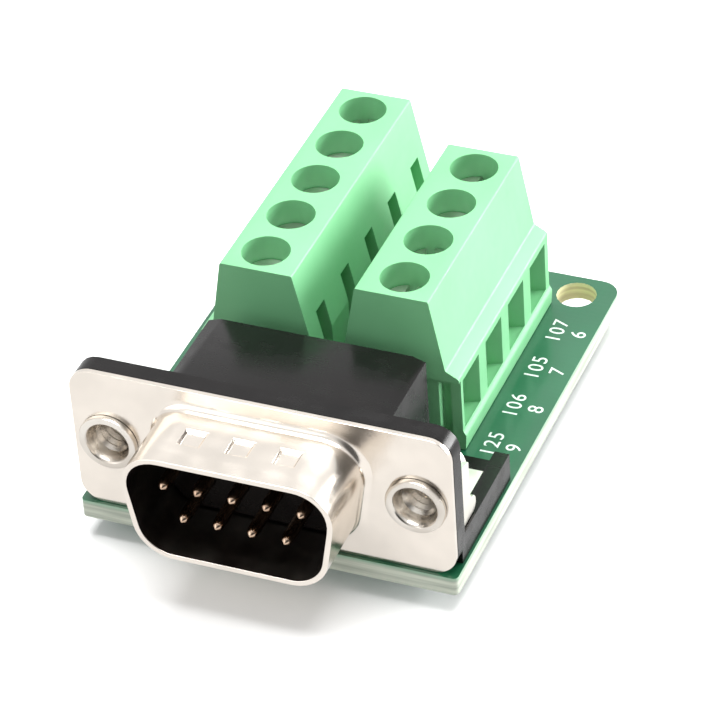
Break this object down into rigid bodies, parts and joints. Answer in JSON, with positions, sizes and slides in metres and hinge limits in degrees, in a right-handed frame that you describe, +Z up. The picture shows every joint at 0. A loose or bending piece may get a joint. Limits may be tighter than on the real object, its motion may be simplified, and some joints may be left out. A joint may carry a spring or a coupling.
{
  "type": "d-sub terminal block adapter",
  "caption": "Right-angle D-sub plug on a small circuit board, wired out to two rows of rising-cage screw terminals with wire entries on both long sides.",
  "frame": {"origin": "middle of the footprint, at the height of the lowest solder tail's end", "axes": "+Z up from the board, +Y from the plug to the rear, +X to the four-way block"},
  "size_m": [0.031, 0.0458, 0.0176],
  "materials": {
    "board": "green solder mask on glass laminate",
    "green_moulding": "moulded pale green",
    "black_moulding": "moulded black",
    "nickel": "nickel plated steel sheet",
    "contact_gold": "flash gold plated",
    "tinned_brass": "tin plated",
    "screw_steel": "zinc plated"
  },
  "bodies": {
    "board": {"circuit_board": "board", "dsub_insulator": "black_moulding", "dsub_pin_1": "contact_gold", "dsub_pin_2": "contact_gold", "dsub_pin_3": "contact_gold", "dsub_pin_4": "contact_gold", "dsub_pin_5": "contact_gold", "dsub_pin_6": "contact_gold", "dsub_pin_7": "contact_gold", "dsub_pin_8": "contact_gold", "dsub_pin_9": "contact_gold", "dsub_shell": "nickel", "ground_strap_left": "nickel", "ground_strap_right": "nickel", "terminal_housing_left": "green_moulding", "terminal_housing_right": "green_moulding", "terminal_pin_1": "tinned_brass", "terminal_pin_2": "tinned_brass", "terminal_pin_3": "tinned_brass", "terminal_pin_4": "tinned_brass", "terminal_pin_5": "tinned_brass", "terminal_pin_6": "tinned_brass", "terminal_pin_7": "tinned_brass", "terminal_pin_8": "tinned_brass", "terminal_pin_9": "tinned_brass", "threaded_insert_left": "nickel", "threaded_insert_right": "nickel"},
    "screw_1": {"terminal_screw_1": "screw_steel"},
    "cage_1": {"clamp_cage_1": "tinned_brass"},
    "screw_2": {"terminal_screw_2": "screw_steel"},
    "cage_2": {"clamp_cage_2": "tinned_brass"},
    "screw_3": {"terminal_screw_3": "screw_steel"},
    "cage_3": {"clamp_cage_3": "tinned_brass"},
    "screw_4": {"terminal_screw_4": "screw_steel"},
    "cage_4": {"clamp_cage_4": "tinned_brass"},
    "screw_5": {"terminal_screw_5": "screw_steel"},
    "cage_5": {"clamp_cage_5": "tinned_brass"},
    "screw_6": {"terminal_screw_6": "screw_steel"},
    "cage_6": {"clamp_cage_6": "tinned_brass"},
    "screw_7": {"terminal_screw_7": "screw_steel"},
    "cage_7": {"clamp_cage_7": "tinned_brass"},
    "screw_8": {"terminal_screw_8": "screw_steel"},
    "cage_8": {"clamp_cage_8": "tinned_brass"},
    "screw_9": {"terminal_screw_9": "screw_steel"},
    "cage_9": {"clamp_cage_9": "tinned_brass"}
  },
  "joints": [
    {"name": "screw_turn_1", "type": "hinge", "parent": "board", "child": "screw_1", "pos_m": [-0.0059, 0.00002, 0.0141], "axis": [0, 0, -1], "range_deg": [0, 2160.8]},
    {"name": "cage_lift_1", "type": "slide", "parent": "board", "child": "cage_1", "axis": [0, 0, 1], "range_m": [0, 0.0027]},
    {"name": "screw_turn_2", "type": "hinge", "parent": "board", "child": "screw_2", "pos_m": [-0.0059, 0.00509, 0.0141], "axis": [0, 0, -1], "range_deg": [0, 2160.8]},
    {"name": "cage_lift_2", "type": "slide", "parent": "board", "child": "cage_2", "axis": [0, 0, 1], "range_m": [0, 0.0027]},
    {"name": "screw_turn_3", "type": "hinge", "parent": "board", "child": "screw_3", "pos_m": [-0.0059, 0.01018, 0.0141], "axis": [0, 0, -1], "range_deg": [0, 2160.8]},
    {"name": "cage_lift_3", "type": "slide", "parent": "board", "child": "cage_3", "axis": [0, 0, 1], "range_m": [0, 0.0027]},
    {"name": "screw_turn_4", "type": "hinge", "parent": "board", "child": "screw_4", "pos_m": [-0.0059, 0.01525, 0.0141], "axis": [0, 0, -1], "range_deg": [0, 2160.8]},
    {"name": "cage_lift_4", "type": "slide", "parent": "board", "child": "cage_4", "axis": [0, 0, 1], "range_m": [0, 0.0027]},
    {"name": "screw_turn_5", "type": "hinge", "parent": "board", "child": "screw_5", "pos_m": [-0.0059, 0.02033, 0.0141], "axis": [0, 0, -1], "range_deg": [0, 2160.8]},
    {"name": "cage_lift_5", "type": "slide", "parent": "board", "child": "cage_5", "axis": [0, 0, 1], "range_m": [0, 0.0027]},
    {"name": "screw_turn_6", "type": "hinge", "parent": "board", "child": "screw_6", "pos_m": [0.0056, 0.01525, 0.0141], "axis": [0, 0, -1], "range_deg": [0, 2160.8]},
    {"name": "cage_lift_6", "type": "slide", "parent": "board", "child": "cage_6", "axis": [0, 0, 1], "range_m": [0, 0.0027]},
    {"name": "screw_turn_7", "type": "hinge", "parent": "board", "child": "screw_7", "pos_m": [0.0056, 0.01018, 0.0141], "axis": [0, 0, -1], "range_deg": [0, 2160.8]},
    {"name": "cage_lift_7", "type": "slide", "parent": "board", "child": "cage_7", "axis": [0, 0, 1], "range_m": [0, 0.0027]},
    {"name": "screw_turn_8", "type": "hinge", "parent": "board", "child": "screw_8", "pos_m": [0.0056, 0.00509, 0.0141], "axis": [0, 0, -1], "range_deg": [0, 2160.8]},
    {"name": "cage_lift_8", "type": "slide", "parent": "board", "child": "cage_8", "axis": [0, 0, 1], "range_m": [0, 0.0027]},
    {"name": "screw_turn_9", "type": "hinge", "parent": "board", "child": "screw_9", "pos_m": [0.0056, 0.00002, 0.0141], "axis": [0, 0, -1], "range_deg": [0, 2160.8]},
    {"name": "cage_lift_9", "type": "slide", "parent": "board", "child": "cage_9", "axis": [0, 0, 1], "range_m": [0, 0.0027]}
  ],
  "couplings": [
    {"joint": "screw_turn_1", "follows": "cage_lift_1", "rad_per_m": 13963},
    {"joint": "screw_turn_2", "follows": "cage_lift_2", "rad_per_m": 13963},
    {"joint": "screw_turn_3", "follows": "cage_lift_3", "rad_per_m": 13963},
    {"joint": "screw_turn_4", "follows": "cage_lift_4", "rad_per_m": 13963},
    {"joint": "screw_turn_5", "follows": "cage_lift_5", "rad_per_m": 13963},
    {"joint": "screw_turn_6", "follows": "cage_lift_6", "rad_per_m": 13963},
    {"joint": "screw_turn_7", "follows": "cage_lift_7", "rad_per_m": 13963},
    {"joint": "screw_turn_8", "follows": "cage_lift_8", "rad_per_m": 13963},
    {"joint": "screw_turn_9", "follows": "cage_lift_9", "rad_per_m": 13963}
  ]
}
